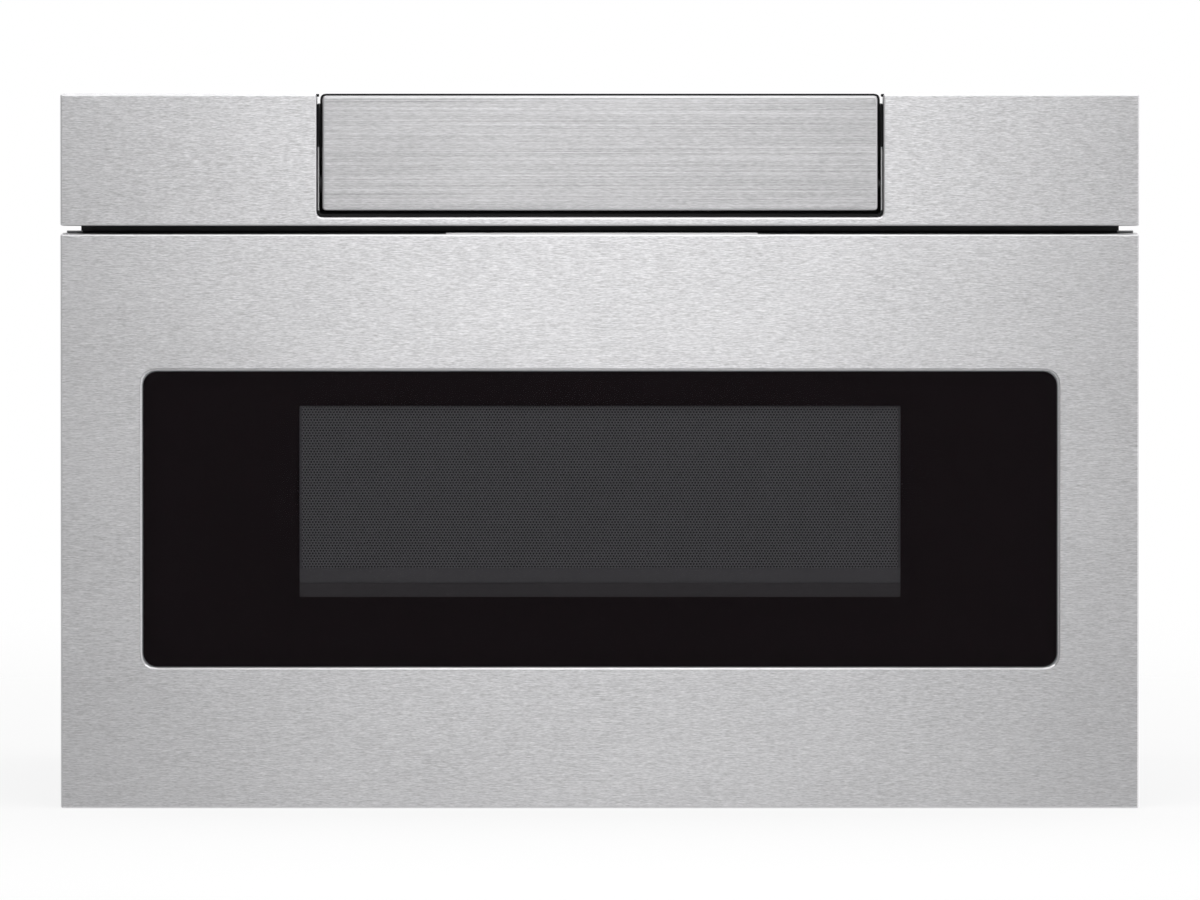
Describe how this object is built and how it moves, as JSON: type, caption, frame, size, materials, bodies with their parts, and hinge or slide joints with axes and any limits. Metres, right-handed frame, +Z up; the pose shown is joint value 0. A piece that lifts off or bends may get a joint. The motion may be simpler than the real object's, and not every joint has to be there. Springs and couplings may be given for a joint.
{
  "type": "microwave drawer",
  "caption": "Built-in microwave drawer with a stainless front, black glass window and a flap over the control panel; the drawer slides out and the flap tips forward.",
  "frame": {"origin": "on the cabinet floor, at mid width, in the plane of the cabinet's face against which the mounting flange rests", "axes": "+Z up, -Y out of the cabinet towards the user, +X to the right seen from the front"},
  "size_m": [0.6064, 0.5937, 0.4016],
  "materials": {
    "stainless": "brushed, horizontal grain",
    "black_glass": "gloss",
    "clear_glass": "gloss",
    "black_steel": "satin",
    "zinc_steel": "galvanised",
    "aluminium": "satin",
    "enamel": "satin",
    "black_plastic": "matte",
    "white_plastic": "matte",
    "ceramic": "gloss",
    "mica": "matte",
    "core_steel": "varnished",
    "circuit_board": "satin"
  },
  "bodies": {
    "chassis": {"mounting_flange": "black_steel", "base_pan": "zinc_steel", "case_left_panel": "zinc_steel", "case_right_panel": "zinc_steel", "case_top_panel": "zinc_steel", "case_rear_panel": "zinc_steel", "cord_gland": "black_plastic", "cavity_floor": "enamel", "cavity_left_wall": "enamel", "cavity_right_wall": "enamel", "cavity_ceiling": "enamel", "cavity_rear_wall": "enamel", "stirrer_cover": "mica", "waveguide": "zinc_steel", "stirrer_motor": "aluminium", "magnetron": "aluminium", "high_voltage_transformer": "core_steel", "high_voltage_capacitor": "aluminium", "cooling_fan_housing": "black_plastic", "cooling_fan_motor": "aluminium", "control_board": "circuit_board", "noise_filter_board": "circuit_board", "oven_lamp": "white_plastic", "thermal_cutout": "black_plastic", "interlock_switches_left": "black_plastic", "interlock_switches_right": "black_plastic", "outer_slide_left": "zinc_steel", "outer_slide_right": "zinc_steel", "drive_motor": "zinc_steel", "top_band": "stainless", "control_recess": "black_plastic", "flap_latch": "black_plastic", "flap_damper": "black_plastic"},
    "drawer": {"drawer_front_panel": "stainless", "door_glass": "black_glass", "door_choke_frame": "zinc_steel", "choke_cover": "black_plastic", "window_screen": "black_steel", "inner_window_glass": "clear_glass", "door_back_plate": "black_steel", "latch_hook_left": "white_plastic", "latch_hook_right": "white_plastic", "drawer_left_wall": "enamel", "drawer_right_wall": "enamel", "drawer_rear_wall": "enamel", "drawer_floor_pan": "enamel", "ceramic_tray": "ceramic", "inner_slide_left": "zinc_steel", "inner_slide_right": "zinc_steel", "carriage_frame": "zinc_steel", "drive_rack": "zinc_steel"},
    "left_middle_slide": {"middle_slide_left": "zinc_steel"},
    "right_middle_slide": {"middle_slide_right": "zinc_steel"},
    "pinion": {"drive_pinion": "zinc_steel"},
    "flap": {"flap_panel": "stainless", "flap_frame": "black_plastic", "flap_hinge_pin": "zinc_steel", "keypad_glass": "black_glass"},
    "fan": {"cooling_fan_blades": "white_plastic"},
    "stirrer": {"stirrer_fan": "aluminium"}
  },
  "joints": [
    {"name": "drawer_slide", "type": "slide", "parent": "chassis", "child": "drawer", "axis": [0, -1, 0], "range_m": [0, 0.381]},
    {"name": "left_slide_stage", "type": "slide", "parent": "chassis", "child": "left_middle_slide", "axis": [0, -1, 0], "range_m": [0, 0.191]},
    {"name": "right_slide_stage", "type": "slide", "parent": "chassis", "child": "right_middle_slide", "axis": [0, -1, 0], "range_m": [0, 0.191]},
    {"name": "pinion_spin", "type": "hinge", "parent": "chassis", "child": "pinion", "pos_m": [0.15, 0.02, 0.02463], "axis": [1, 0, 0], "range_deg": [0, 1620]},
    {"name": "flap_hinge", "type": "hinge", "parent": "chassis", "child": "flap", "pos_m": [0, -0.031, 0.341], "axis": [1, 0, 0], "range_deg": [0, 45]},
    {"name": "fan_spin", "type": "hinge", "parent": "chassis", "child": "fan", "pos_m": [0.2, 0.525, 0.215], "axis": [0, 1, 0], "continuous": true},
    {"name": "stirrer_spin", "type": "hinge", "parent": "chassis", "child": "stirrer", "pos_m": [0, 0.217, 0.3], "axis": [0, 0, 1], "continuous": true}
  ],
  "couplings": [
    {"joint": "left_slide_stage", "follows": "drawer_slide", "ratio": 0.5},
    {"joint": "right_slide_stage", "follows": "drawer_slide", "ratio": 0.5},
    {"joint": "pinion_spin", "follows": "drawer_slide", "rad_per_m": 74.074}
  ]
}
